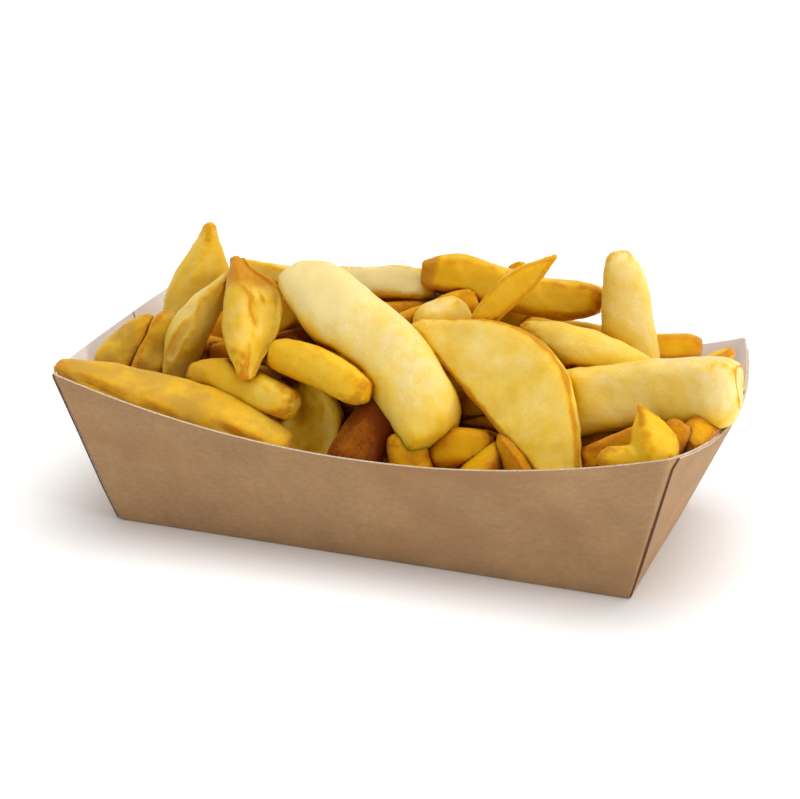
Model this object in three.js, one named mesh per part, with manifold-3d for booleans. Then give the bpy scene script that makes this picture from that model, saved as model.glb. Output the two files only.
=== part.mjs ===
// French fries heaped in an open tray folded from one sheet of board.
// Millimetres, +Z up. The origin is the middle of the tray's underside, X runs along the tray.
import * as THREE from "three";
import { mergeVertices } from "three/addons/utils/BufferGeometryUtils.js";
import Module from "manifold-3d";

// The tray: half sizes at the base and at the rim's corners, before the walls bow.
const boardThickness = 0.7;
const baseHalfLength = 78;
const baseHalfWidth = 36;
const rimHalfLength = 90;
const rimHalfWidth = 52;
const trayHeight = 50;
const longRimDip = 14; // the rims run down in a curve towards the middle of each wall
const longWallBow = 2.5; // and the walls lean out there
const endRimDip = 5;
const endWallBow = 9;
const tabLength = 34; // the long walls' tabs, glued inside the end panels
const foldSize = 1.8; // how far the rounding of a fold reaches along each wall
const panelInset = 3; // the end panels' cut edges stand back from the rim's corners
const panelCorner = 5; // and their top corners are cut off
const panelDrop = 0.4; // their rims lie this much below the tabs' rims
const glueOverlap = 0.2; // glued sheets share this much, so that the tray is one body
const longWallSteps = 16;
const endWallSteps = 12;

// The heap: a core that fills the tray's lower part, and the fries fused on it.
const coreGap = 0.6; // between the core and the board
const coreLevels = [
  // height over its underside, half length and half width
  [0, 66, 27],
  [4, 73, 33],
  [18, 75, 35],
  [28, 70, 31],
  [36, 56, 20],
];
const coreSides = 24;
const coreSquareness = 4;

// A fry's section goes once round it, in halves of its width and thickness.
const squareSection = [
  [1, 0.45], [0.55, 1], [-0.55, 1], [-1, 0.45],
  [-1, -0.45], [-0.55, -1], [0.55, -1], [1, -0.45],
];
const ridgeSection = [
  [1, -0.45], [0.6, 0.4], [0.15, 1], [-0.35, 0.95],
  [-0.85, 0.1], [-1, -0.55], [-0.6, -1], [0.65, -1],
];
const flatSection = [
  [1, 0.25], [0.8, 1], [-0.8, 1], [-1, 0.25],
  [-1, -0.25], [-0.8, -1], [0.8, -1], [1, -0.25],
];
const plainSection = [
  [1, 0], [0.62, 0.95], [-0.62, 0.95],
  [-1, 0], [-0.62, -0.95], [0.62, -0.95],
];

// How a fry runs from end to end: the place along it, the shares of its width and
// thickness there, and how far the section is off its middle line, in widths.
const cuts = {
  baton: {
    section: squareSection,
    stations: [
      [0, 0.5, 0.48],
      [0.05, 0.85, 0.82],
      [0.22, 1, 0.98],
      [0.5, 0.96, 1],
      [0.78, 1, 0.96],
      [0.95, 0.86, 0.84],
      [1, 0.52, 0.5],
    ],
  },
  rod: {
    section: plainSection,
    stations: [
      [0, 0.5, 0.5],
      [0.08, 0.88, 0.88],
      [0.5, 1, 1],
      [0.92, 0.88, 0.88],
      [1, 0.5, 0.5],
    ],
  },
  tail: {
    section: ridgeSection,
    stations: [
      [0, 0.45, 0.4],
      [0.05, 0.78, 0.75],
      [0.22, 1, 0.95],
      [0.48, 1, 1],
      [0.75, 0.86, 0.8],
      [0.93, 0.56, 0.5],
      [1, 0.22, 0.25],
    ],
  },
  wedge: {
    section: ridgeSection,
    stations: [
      [0, 0.2, 0.2],
      [0.07, 0.5, 0.5],
      [0.28, 0.92, 0.9],
      [0.52, 1, 1],
      [0.76, 0.88, 0.9],
      [0.94, 0.48, 0.5],
      [1, 0.2, 0.22],
    ],
  },
  leaf: {
    section: ridgeSection,
    stations: [
      [0, 0.3, 0.4],
      [0.07, 0.5, 0.6],
      [0.25, 0.9, 0.9],
      [0.5, 1, 1],
      [0.74, 0.85, 0.8],
      [0.93, 0.42, 0.5],
      [1, 0.16, 0.2],
    ],
  },
  drop: {
    section: ridgeSection,
    stations: [
      [0, 0.13, 0.2],
      [0.1, 0.3, 0.4],
      [0.3, 0.62, 0.7],
      [0.5, 0.9, 1],
      [0.75, 1, 1],
      [0.94, 0.78, 0.8],
      [1, 0.45, 0.5],
    ],
  },
  blade: {
    section: flatSection,
    stations: [
      [0, 0.1, 0.2],
      [0.1, 0.45, 0.6],
      [0.3, 0.85, 1],
      [0.55, 1, 1],
      [0.8, 0.8, 0.9],
      [0.95, 0.5, 0.6],
      [1, 0.25, 0.3],
    ],
  },
  slice: {
    section: flatSection,
    stations: [
      [0, 0.2, 0.6, -0.4],
      [0.06, 0.48, 0.9, -0.26],
      [0.22, 0.83, 1, -0.085],
      [0.45, 1, 1, 0],
      [0.68, 0.93, 1, -0.035],
      [0.88, 0.66, 0.95, -0.17],
      [1, 0.25, 0.6, -0.375],
    ],
  },
  curl: {
    section: flatSection,
    stations: [
      [0, 0.6, 0.6],
      [0.06, 0.85, 1],
      [0.25, 1, 1],
      [0.5, 1, 0.9],
      [0.75, 1, 1],
      [0.94, 0.85, 1],
      [1, 0.6, 0.6],
    ],
  },
};

// The fries that lie on top. Each has its cut, where its middle is, its length, width and
// thickness, how it is turned (heading, slope and roll, in degrees), and how many degrees
// it curves up and sideways.
const topFries = [
  // long wedge along the front wall
  { cut: "tail", at: [-56, -41, 43], size: [70, 17, 15], turn: [-173, 14, -65] },
  // behind the long wedge
  { cut: "baton", at: [-41, -29, 44], size: [43, 13, 15], turn: [-14, -5, 62] },
  // browned leaf-shaped offcut
  { cut: "leaf", at: [-45, -19, 62], size: [38, 16, 13], turn: [-62, -49, 6] },
  // thin fry behind it
  { cut: "baton", at: [-37, 6, 67], size: [36, 7, 12], turn: [-6, -2, 69] },
  // thick baton that slants across the front
  { cut: "baton", at: [-7, -20, 57], size: [65, 22, 20], turn: [-25, -34, 46], curve: [0, -22] },
  // bent fry at its foot
  { cut: "baton", at: [-18, -30, 52], size: [38, 10, 15], turn: [-19, -6, 61], curve: [0, -29] },
  // curled slice
  { cut: "curl", at: [-16, -35, 38], size: [24, 23, 6], turn: [-10, 12, 72], curve: [110, 0] },
  // pale fry along the top
  { cut: "baton", at: [-23, 12, 65], size: [54, 8, 13], turn: [9, 6, 73] },
  // in the shade of the thick baton
  { cut: "baton", at: [-1, -27, 38], size: [39, 15, 16], turn: [64, 42, 42] },
  // end that stands up by the front wall
  { cut: "baton", at: [12, -36, 33], size: [18, 11, 15], turn: [109, 43, -1] },
  // in the gap by the half disc
  { cut: "baton", at: [18, -27, 33], size: [29, 13, 15], turn: [-12, 17, 74] },
  // tip in the same gap
  { cut: "wedge", at: [34, -33, 32], size: [22, 12, 14], turn: [65, 35, 41] },
  // tip against the half disc
  { cut: "wedge", at: [44, -35, 36], size: [22, 9, 13], turn: [137, 23, -37] },
  // half of a round slice, on edge
  { cut: "slice", at: [40, -26, 57], size: [68, 26, 8], turn: [-27, -26, 48] },
  // baton end behind the half disc
  { cut: "baton", at: [18, -10, 57], size: [31, 17, 18], turn: [142, 51, -34] },
  // amber fry across the top
  { cut: "baton", at: [25, 20, 68], size: [54, 14, 18], turn: [13, -9, 72] },
  // thin blade that points up
  { cut: "blade", at: [31, 1, 73], size: [34, 8, 8], turn: [-166, -44, -77] },
  // wedge right of the half disc
  { cut: "wedge", at: [61, -7, 61], size: [51, 13, 18], turn: [-7, -7, 67] },
  // baton that stands up
  { cut: "baton", at: [63, 13, 60], size: [50, 14, 18], turn: [122, 60, -19] },
  // short end behind it
  { cut: "baton", at: [68, 21, 55], size: [31, 8, 14], turn: [27, -4, 71] },
  // thickest baton, at the right end
  { cut: "baton", at: [67, -15, 51], size: [61, 20, 20], turn: [15, 6, 69] },
  // small boot-shaped bit, its leg
  { cut: "baton", at: [82, -40, 52], size: [15, 7, 9], turn: [-26, -52, 47] },
  // and its foot
  { cut: "baton", at: [77, -43, 46], size: [19, 6, 9], turn: [12, 8, 68] },
  // under the thickest baton
  { cut: "baton", at: [83, -29, 46], size: [16, 8, 12], turn: [125, 25, -28] },
  // along the right end panel
  { cut: "baton", at: [88, -18, 43], size: [22, 8, 12], turn: [78, 4, 47] },
  // tip behind the thickest baton
  { cut: "wedge", at: [83, 0, 56], size: [28, 8, 12], turn: [32, 22, 63] },
  // under the boot-shaped bit
  { cut: "baton", at: [68, -30, 41], size: [21, 8, 12], turn: [27, 31, 64] },
  // wedge at the left end
  { cut: "wedge", at: [-84, -4, 49], size: [31, 12, 15], turn: [64, 13, 59] },
  // hollow-faced fry beside it
  { cut: "wedge", at: [-77, -14, 46], size: [39, 12, 13], turn: [84, 29, 35] },
  // wedge that leans back
  { cut: "wedge", at: [-61, -15, 55], size: [37, 16, 16], turn: [68, 47, 43] },
  // drop-shaped offcut that stands up
  { cut: "drop", at: [-76, 21, 58], size: [34, 19, 15], turn: [-106, -72, -37] },
  // in the gap left of the thick baton
  { cut: "baton", at: [-28, -7, 52], size: [26, 11, 15], turn: [29, 10, 69] },
  // small pale bit there
  { cut: "baton", at: [-40, 3, 56], size: [17, 8, 10], turn: [39, 42, 64] },
  // amber fry above the half disc
  { cut: "baton", at: [5, 8, 63], size: [27, 9, 13], turn: [26, 22, 70] },
  // small tip over the amber fry
  { cut: "wedge", at: [30, 25, 66], size: [16, 6, 10], turn: [146, 36, -42] },
  // on the back of the heap, from the left
  { cut: "wedge", at: [-52, 30, 54], size: [48, 15, 13], turn: [48, 2, 15] },
  // the next one
  { cut: "baton", at: [-24, 32, 51], size: [52, 15, 14], turn: [-28, -8, 30], curve: [-12, 0] },
  // crosses the rows
  { cut: "baton", at: [12, 27, 54], size: [38, 14, 14], turn: [62, -12, 10], curve: [0, 10] },
  // along the back wall
  { cut: "tail", at: [42, 33, 48], size: [54, 16, 13], turn: [-16, 3, 20], curve: [8, 0] },
  // in the back corner
  { cut: "baton", at: [70, 34, 46], size: [40, 14, 13], turn: [35, -4, 55] },
  // across the left end
  { cut: "baton", at: [-80, 14, 40], size: [52, 14, 13], turn: [80, 6, 20], curve: [10, 0] },
  // under it
  { cut: "baton", at: [-78, -20, 33], size: [46, 14, 13], turn: [96, -4, 50] },
  // across the right end
  { cut: "baton", at: [81, 14, 40], size: [50, 14, 13], turn: [99, -5, 15], curve: [10, 0] },
  // under it
  { cut: "baton", at: [79, -20, 33], size: [44, 14, 13], turn: [84, 5, 60] },
];

// The fries under and behind them lie in rows along the tray, each about its row's line.
const fillRows = [
  { y: -33, z: 26, count: 3, reach: 54, swing: 6 },
  { y: -20, z: 35, count: 4, reach: 66, swing: 25 },
  { y: -4, z: 43, count: 4, reach: 68, swing: 35 },
  { y: 11, z: 49, count: 5, reach: 72, swing: 35 },
  { y: 25, z: 46, count: 6, reach: 72, swing: 30 },
  { y: 37, z: 38, count: 5, reach: 66, swing: 7 },
];
const fillLength = [44, 60];
const fillWidth = [12, 16];
const fillSlope = 8;
const fillShift = 4;
const fillFlatness = 0.92;
const fillCurve = 15;
const fillSeed = 11;

const boardMaterial = new THREE.MeshStandardMaterial({ color: "#b08a64", roughness: 0.85, metalness: 0 });
const potatoMaterial = new THREE.MeshStandardMaterial({ color: "#e3b548", roughness: 0.55, metalness: 0 });

const manifold = await Module();
manifold.setup();

// ---- solids: closed bodies made of points and triangles

function solidOf(points, triangles) {
  const vertProperties = new Float32Array(points.flatMap((point) => point.toArray()));
  const triVerts = new Uint32Array(triangles.flat());
  const solid = new manifold.Manifold(new manifold.Mesh({ numProp: 3, vertProperties, triVerts }));
  if (solid.volume() > 0) return solid;
  const turned = triangles.map(([a, b, c]) => [a, c, b]);
  return solidOf(points, turned);
}

function geometryOf(solid) {
  const { vertProperties, triVerts } = solid.getMesh();
  const geometry = new THREE.BufferGeometry();
  geometry.setAttribute("position", new THREE.BufferAttribute(new Float32Array(vertProperties), 3));
  geometry.setIndex(new THREE.BufferAttribute(new Uint32Array(triVerts), 1));
  const merged = mergeVertices(geometry, 1e-3);
  merged.computeVertexNormals();
  return merged;
}

function joined(solids) {
  return solids.reduce((whole, solid) => whole.add(solid));
}

// The outer body alone, so that a hollow that is closed all round is solid.
function largestBody(solid) {
  return solid.decompose().reduce((largest, body) => (body.volume() > largest.volume() ? body : largest));
}

function quad(a, b, c, d) {
  return [[a, b, c], [a, c, d]];
}

// A body through rings of points that all run the same way round, closed by two flat ends.
function loftedSolid(rings) {
  const sides = rings[0].length;
  const triangles = [];
  for (let ring = 0; ring < rings.length - 1; ring += 1) {
    for (let side = 0; side < sides; side += 1) {
      const here = ring * sides + side;
      const beside = ring * sides + ((side + 1) % sides);
      triangles.push(...quad(here, beside, beside + sides, here + sides));
    }
  }
  const last = (rings.length - 1) * sides;
  for (let side = 1; side < sides - 1; side += 1) {
    triangles.push([0, side + 1, side], [last, last + side, last + side + 1]);
  }
  return solidOf(rings.flat(), triangles);
}

// ---- the tray

// A wall runs from its straight foot to its bowed rim. The place along it goes from -1 to 1.
function longWallLine(along, side) {
  const middle = 1 - along ** 2;
  const dip = longRimDip * middle;
  const lean = ((rimHalfWidth - baseHalfWidth) * dip) / trayHeight;
  const foot = new THREE.Vector3(along * baseHalfLength, side * baseHalfWidth, 0);
  const rim = new THREE.Vector3(
    along * rimHalfLength,
    side * (rimHalfWidth - lean + longWallBow * middle),
    trayHeight - dip,
  );
  return { foot, rim };
}

function endWallLine(along, end) {
  const middle = 1 - along ** 2;
  const dip = endRimDip * middle;
  const lean = ((rimHalfLength - baseHalfLength) * dip) / trayHeight;
  const foot = new THREE.Vector3(end * baseHalfLength, along * baseHalfWidth, 0);
  const rim = new THREE.Vector3(
    end * (rimHalfLength - lean + endWallBow * middle),
    along * rimHalfWidth,
    trayHeight - dip,
  );
  return { foot, rim };
}

// A sheet of board between two faces that follow the wall's lines, with its cut edges.
function boardSheet(lines, outerOffset, innerOffset) {
  const rings = lines.map(({ foot, rim, outward }) => [
    foot.clone().addScaledVector(outward, outerOffset),
    rim.clone().addScaledVector(outward, outerOffset),
    rim.clone().addScaledVector(outward, innerOffset),
    foot.clone().addScaledVector(outward, innerOffset),
  ]);
  return loftedSolid(rings);
}

function steps(from, to, count) {
  return Array.from({ length: count + 1 }, (_, index) => from + ((to - from) * index) / count);
}

// The rounded fold between two walls, as one line midway round it.
function foldLine(before, corner, after) {
  const blend = (a, b, c) =>
    a.clone().multiplyScalar(0.25).addScaledVector(b, 0.5).addScaledVector(c, 0.25);
  return {
    foot: blend(before.foot, corner.foot, after.foot),
    rim: blend(before.rim, corner.rim, after.rim),
    outward: before.outward.clone().add(after.outward).normalize(),
  };
}

// A long wall with the tabs that are folded round both of its ends.
function longWall(side) {
  const onWall = (along) => ({
    ...longWallLine(along, side),
    outward: new THREE.Vector3(0, side, 0),
  });
  const onTab = (along, end) => ({
    ...endWallLine(along * side, end),
    outward: new THREE.Vector3(end, 0, 0),
  });
  const wallFold = 1 - foldSize / rimHalfLength;
  const tabFold = 1 - foldSize / rimHalfWidth;
  const tabEnd = 1 - tabLength / rimHalfWidth;
  const tabSteps = endWallSteps / 2;
  const fold = (end) => foldLine(onTab(tabFold, end), onWall(end), onWall(end * wallFold));
  const lines = [
    ...steps(tabEnd, tabFold, tabSteps).map((along) => onTab(along, -1)),
    fold(-1),
    ...steps(-wallFold, wallFold, longWallSteps).map(onWall),
    fold(1),
    ...steps(tabFold, tabEnd, tabSteps).map((along) => onTab(along, 1)),
  ];
  return boardSheet(lines, 0, -boardThickness);
}

// An end panel folds up from the base and is glued over the two tabs.
function endPanel(end) {
  const outward = new THREE.Vector3(end, 0, 0);
  const rimShare = 1 - panelInset / rimHalfWidth;
  const cornerShare = 1 - panelCorner / rimHalfWidth;
  const panelLine = (footAlong, rimAlong, drop) => {
    const { foot } = endWallLine(footAlong, end);
    const { rim } = endWallLine(rimAlong, end);
    const down = foot.clone().sub(rim).setLength(drop);
    return { foot, rim: rim.add(down), outward };
  };
  const lines = [
    panelLine(-1, -rimShare, panelCorner),
    ...steps(-cornerShare, cornerShare, endWallSteps).map((along) => panelLine(along, along, panelDrop)),
    panelLine(1, rimShare, panelCorner),
  ];
  return boardSheet(lines, boardThickness - glueOverlap, -glueOverlap);
}

// The base reaches into the folds at its edges, with its corners cut off.
function basePlate() {
  const reach = boardThickness / 2;
  const halfLength = baseHalfLength + reach;
  const halfWidth = baseHalfWidth - reach;
  const corner = foldSize;
  const outline = (z) => [
    new THREE.Vector3(halfLength, halfWidth - corner, z),
    new THREE.Vector3(halfLength - corner, halfWidth, z),
    new THREE.Vector3(corner - halfLength, halfWidth, z),
    new THREE.Vector3(-halfLength, halfWidth - corner, z),
    new THREE.Vector3(-halfLength, corner - halfWidth, z),
    new THREE.Vector3(corner - halfLength, -halfWidth, z),
    new THREE.Vector3(halfLength - corner, -halfWidth, z),
    new THREE.Vector3(halfLength, corner - halfWidth, z),
  ];
  return loftedSolid([outline(0), outline(boardThickness)]);
}

function trayBody() {
  return largestBody(joined([basePlate(), longWall(-1), longWall(1), endPanel(-1), endPanel(1)]));
}

// ---- the fries

// Bends a point of a straight fry round an arc of this many degrees over its length.
function curvedPoint(point, degrees, length, axis) {
  if (degrees === 0) return point;
  const perLength = THREE.MathUtils.degToRad(degrees) / length;
  const angle = point.x * perLength;
  const radius = point[axis] - 1 / perLength;
  point.x = -radius * Math.sin(angle);
  point[axis] = radius * Math.cos(angle) + 1 / perLength;
  return point;
}

function frySolid({ cut, at, size, turn, curve = [0, 0] }) {
  const [length, width, thickness] = size;
  const [heading, slope, roll] = turn.map(THREE.MathUtils.degToRad);
  const place = new THREE.Matrix4().makeRotationFromEuler(new THREE.Euler(roll, -slope, heading, "ZYX"));
  place.setPosition(...at);
  const { section, stations } = cuts[cut];
  const rings = stations.map(([along, wide, thick, aside = 0]) =>
    section.map(([y, z]) => {
      const point = new THREE.Vector3(
        (along - 0.5) * length,
        ((y * wide) / 2 + aside) * width,
        (z * thick * thickness) / 2,
      );
      curvedPoint(point, curve[0], length, "z");
      curvedPoint(point, curve[1], length, "y");
      return point.applyMatrix4(place);
    }),
  );
  return loftedSolid(rings);
}

function seededRandom(seed) {
  const multiplier = 48271;
  const modulus = 2147483647;
  let state = seed;
  return (from, to) => {
    state = (state * multiplier) % modulus;
    return from + ((to - from) * state) / modulus;
  };
}

function fillFries() {
  const random = seededRandom(fillSeed);
  return fillRows.flatMap(({ y, z, count, reach, swing }) =>
    Array.from({ length: count }, (_, index) => {
      const x = -reach + (2 * reach * (index + 0.5)) / count;
      const at = [x + random(-fillShift, fillShift), y + random(-fillShift, fillShift) / 2, z];
      const turn = [random(-swing, swing), random(-fillSlope, fillSlope), random(-90, 90)];
      const length = random(...fillLength);
      const width = random(...fillWidth);
      return {
        cut: "rod",
        at,
        size: [length, width, width * fillFlatness],
        turn,
        curve: [random(-fillCurve, fillCurve), 0],
      };
    }),
  );
}

function coreSolid() {
  const power = 2 / coreSquareness;
  const rounded = (value) => Math.sign(value) * Math.abs(value) ** power;
  const underside = boardThickness + coreGap;
  const rings = coreLevels.map(([height, halfLength, halfWidth]) =>
    Array.from({ length: coreSides }, (_, side) => {
      const angle = (2 * Math.PI * (side + 0.5)) / coreSides;
      return new THREE.Vector3(
        halfLength * rounded(Math.cos(angle)),
        halfWidth * rounded(Math.sin(angle)),
        underside + height,
      );
    }),
  );
  return loftedSolid(rings);
}

function heapBody() {
  return largestBody(joined([coreSolid(), ...[...fillFries(), ...topFries].map(frySolid)]));
}

function namedMesh(name, solid, material) {
  const mesh = new THREE.Mesh(geometryOf(solid), material);
  mesh.name = name;
  return mesh;
}

const friesInTray = new THREE.Group();
friesInTray.add(namedMesh("carton", trayBody(), boardMaterial));
friesInTray.add(namedMesh("fries", heapBody(), potatoMaterial));

export default friesInTray;
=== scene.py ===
import itertools
import math

import bmesh
import bpy
import numpy as np
from mathutils import Euler, Matrix, Vector
from mathutils.bvhtree import BVHTree


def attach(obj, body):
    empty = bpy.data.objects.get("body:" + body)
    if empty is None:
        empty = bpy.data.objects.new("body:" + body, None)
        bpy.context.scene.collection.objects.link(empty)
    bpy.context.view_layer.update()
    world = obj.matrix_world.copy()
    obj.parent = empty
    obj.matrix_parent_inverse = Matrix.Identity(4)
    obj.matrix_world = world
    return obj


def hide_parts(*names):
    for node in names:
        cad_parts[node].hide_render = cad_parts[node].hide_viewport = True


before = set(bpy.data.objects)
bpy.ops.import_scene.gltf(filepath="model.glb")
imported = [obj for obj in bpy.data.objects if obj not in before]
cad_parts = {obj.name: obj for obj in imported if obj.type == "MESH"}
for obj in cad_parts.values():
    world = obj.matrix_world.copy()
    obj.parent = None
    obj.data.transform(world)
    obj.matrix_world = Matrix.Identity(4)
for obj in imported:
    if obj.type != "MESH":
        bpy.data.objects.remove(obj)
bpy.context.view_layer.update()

# French fries heaped in an open tray of folded kraft board.
# The sizes below are in millimetres and degrees. X runs along the tray and -Y is its front.
mm = 0.001
noiseMiddle = (0.3, 0.7)  # most of a noise's values lie between these


def activate(thing):
    bpy.ops.object.select_all(action="DESELECT")
    thing.select_set(True)
    bpy.context.view_layer.objects.active = thing


def edit(thing):
    activate(thing)
    bpy.ops.object.mode_set(mode="EDIT")
    bpy.ops.mesh.select_mode(type="VERT")


def applyPlace(thing):
    activate(thing)
    bpy.ops.object.transform_apply(location=True, rotation=True, scale=True)


def addModifier(thing, name, kind, **settings):
    modifier = thing.modifiers.new(name, kind)
    for key, value in settings.items():
        setattr(modifier, key, value)


def applyModifiers(thing):
    activate(thing)
    for modifier in list(thing.modifiers):
        bpy.ops.object.modifier_apply(modifier=modifier.name)


def joinAll(things, name):
    bpy.ops.object.select_all(action="DESELECT")
    for thing in things:
        thing.select_set(True)
    bpy.context.view_layer.objects.active = things[0]
    bpy.ops.object.join()
    joined = bpy.context.object
    joined.name = name
    bpy.ops.object.shade_smooth()
    return joined


# In edit mode: selects just these vertices.
def pickVertices(thing, indices):
    bpy.ops.mesh.select_all(action="DESELECT")
    mesh = bmesh.from_edit_mesh(thing.data)
    mesh.verts.ensure_lookup_table()
    for index in indices:
        mesh.verts[index].select = True
    mesh.select_flush(True)
    bmesh.update_edit_mesh(thing.data)
    return mesh


def moveVertex(thing, index, target):
    mesh = pickVertices(thing, [index])
    bpy.ops.transform.translate(value=Vector(target) - mesh.verts[index].co)


# Pulls a new row of vertices out of a row, moves each to its place and gives the new row.
def pullRow(thing, row, places):
    mesh = pickVertices(thing, row)
    order = [mesh.verts[index].co.copy() for index in row]
    bpy.ops.mesh.extrude_region_move()
    mesh = bmesh.from_edit_mesh(thing.data)
    fresh = [(vertex.index, vertex.co.copy()) for vertex in mesh.verts if vertex.select]
    newRow = [min(fresh, key=lambda item: (item[1] - place).length)[0] for place in order]
    for index, place in zip(newRow, places):
        moveVertex(thing, index, place)
    return newRow


def displace(thing, name, strength, group=""):
    addModifier(
        thing, name, "DISPLACE", texture=textures[name], texture_coords="LOCAL",
        strength=strength * mm, vertex_group=group,
    )


def cloudsTexture(name, size, depth):
    texture = bpy.data.textures.new(name, "CLOUDS")
    texture.noise_scale = size * mm
    texture.noise_depth = depth
    return texture


# Gives the material, its nodes and a point's place on the object.
def newMaterial(name):
    material = bpy.data.materials.new(name)
    material.use_nodes = True
    tree = material.node_tree
    tree.nodes.clear()
    return material, tree, tree.nodes.new("ShaderNodeTexCoord").outputs["Object"]


def feed(tree, socket, value):
    if isinstance(value, bpy.types.NodeSocket):
        tree.links.new(value, socket)
    else:
        socket.default_value = value


def addNode(tree, kind, inputs, **settings):
    node = tree.nodes.new("ShaderNode" + kind)
    for key, value in settings.items():
        setattr(node, key, value)
    for key, value in inputs.items():
        feed(tree, node.inputs[key], value)
    return node


def addNoise(tree, place, scale, detail=2, roughness=0.5):
    inputs = {"Vector": place, "Scale": scale, "Detail": detail, "Roughness": roughness}
    return addNode(tree, "TexNoise", inputs).outputs["Fac"]


def addMath(tree, operation, *values):
    return addNode(tree, "Math", dict(enumerate(values)), operation=operation).outputs[0]


# Adds up values, each times its share.
def addSum(tree, *terms, start=0.0):
    for value, share in terms:
        start = addMath(tree, "MULTIPLY_ADD", value, share, start)
    return start


# Stretches a value from one range to another, held at the ends.
def addRange(tree, value, fromLow, fromHigh, toLow, toHigh, smooth=False):
    inputs = {"Value": value, "From Min": fromLow, "From Max": fromHigh, "To Min": toLow, "To Max": toHigh}
    way = "SMOOTHSTEP" if smooth else "LINEAR"
    return addNode(tree, "MapRange", inputs, interpolation_type=way).outputs["Result"]


def addRamp(tree, value, stops):
    node = addNode(tree, "ValToRGB", {"Fac": value})
    elements = node.color_ramp.elements
    while len(elements) < len(stops):
        elements.new(0.5)
    for element, (place, color) in zip(elements, stops):
        element.position = place
        element.color = (*color, 1)
    return node.outputs["Color"]


def addMix(tree, factor, first, second):
    node = addNode(tree, "Mix", {}, data_type="RGBA")
    feed(tree, node.inputs["Factor"], factor)
    colorSockets = [socket for socket in node.inputs if socket.type == "RGBA"]
    feed(tree, colorSockets[0], first)
    feed(tree, colorSockets[1], (*second, 1))
    return next(socket for socket in node.outputs if socket.type == "RGBA")


def addBump(tree, height, strength, distance):
    inputs = {"Height": height, "Strength": strength, "Distance": distance}
    return addNode(tree, "Bump", inputs).outputs["Normal"]


def finishMaterial(tree, color, roughness, normal, **others):
    inputs = {"Base Color": color, "Roughness": roughness, "Normal": normal, **others}
    shader = addNode(tree, "BsdfPrincipled", inputs)
    addNode(tree, "OutputMaterial", {"Surface": shader.outputs[0]})


# The carton is one blank of board, folded up and glued at its ends.
carton = dict(
    board=0.55,  # its thickness
    baseHalfLength=78,
    baseHalfWidth=36,
    rimHalfLength=90,
    rimHalfWidth=52,
    height=50,
    longRimDip=14,  # the rims run down in a curve towards the middle of each wall
    longWallBow=2.5,  # and the walls lean out there
    endRimDip=5,
    endWallBow=9,
    footFold=0.8,  # how far the folds' rounding reaches
    footShare=0.7,  # and how far out on it its middle row lies
    cornerFold=1.3,
    cornerTurns=(0.3, 0.6, 1),
    tabLength=34,
    tabRise=4,  # the tabs' lower edges clear the base
    tabInside=0.05,
    panelLift=0.6,  # the end panels are glued on the tabs' outside
    liftLevel=0.1,  # and stand off fully above this share of the height
    panelDrop=0.5,  # their rims lie a little lower
    # left and right end, front and back: how far a panel's cut edge stands back at the rim
    panelInsets={-1: (0.3, 3), 1: (3, 3)},
    panelCorners={-1: (1.6, 5), 1: (4, 5)},  # and what is off its corner
    wallColumns=36,
    endColumns=12,
    levels=(0.02, 0.25, 0.5, 0.75, 1),
    waveSize=45,
    waveDepth=0.35,
    sharpAngle=35,  # folds sharper than this show as edges
)


def wallPoint(along, side, level):
    middle = 1 - along**2
    dip = carton["longRimDip"] * middle
    lean = (carton["rimHalfWidth"] - carton["baseHalfWidth"]) * dip / carton["height"]
    foot = Vector((along * carton["baseHalfLength"], side * carton["baseHalfWidth"], 0))
    out = carton["rimHalfWidth"] - lean + carton["longWallBow"] * middle
    rim = Vector((along * carton["rimHalfLength"], side * out, carton["height"] - dip))
    return foot.lerp(rim, level) * mm


def endPoint(footAlong, rimAlong, end, level, drop=0.0, lift=0.0):
    middle = 1 - rimAlong**2
    dip = carton["endRimDip"] * middle
    lean = (carton["rimHalfLength"] - carton["baseHalfLength"]) * dip / carton["height"]
    foot = Vector((end * carton["baseHalfLength"], footAlong * carton["baseHalfWidth"], 0))
    out = carton["rimHalfLength"] - lean + carton["endWallBow"] * middle
    rim = Vector((end * out, rimAlong * carton["rimHalfWidth"], carton["height"] - dip))
    rim += (foot - rim).normalized() * drop
    return (foot.lerp(rim, level) + Vector((end * lift, 0, 0))) * mm


# The rounding between the base's edge and the foot of a wall or panel.
def footFoldPlace(edge, foot):
    place = edge.lerp(foot, carton["footShare"])
    place.z = foot.z * (1 - carton["footShare"])
    return place


def rowAlong(tray, axis, value, sortAxis):
    slack = 0.001 * mm
    mesh = bmesh.from_edit_mesh(tray.data)
    mesh.verts.index_update()
    row = [vertex for vertex in mesh.verts if abs(vertex.co[axis] - value) < slack]
    row.sort(key=lambda vertex: vertex.co[sortAxis])
    return [vertex.index for vertex in row], [vertex.co.copy() for vertex in row]


def raiseLongWall(tray, side, baseRow, baseEdge):
    share = 1 - carton["cornerFold"] / carton["rimHalfLength"]
    alongs = [edge.x / baseEdge[-1].x * share for edge in baseEdge]
    feet = [wallPoint(along, side, carton["levels"][0]) for along in alongs]
    row = pullRow(tray, baseRow, [footFoldPlace(*pair) for pair in zip(baseEdge, feet)])
    rows = []
    for level in carton["levels"]:
        row = pullRow(tray, row, [wallPoint(along, side, level) for along in alongs])
        rows.append(row)
    return rows


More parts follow.
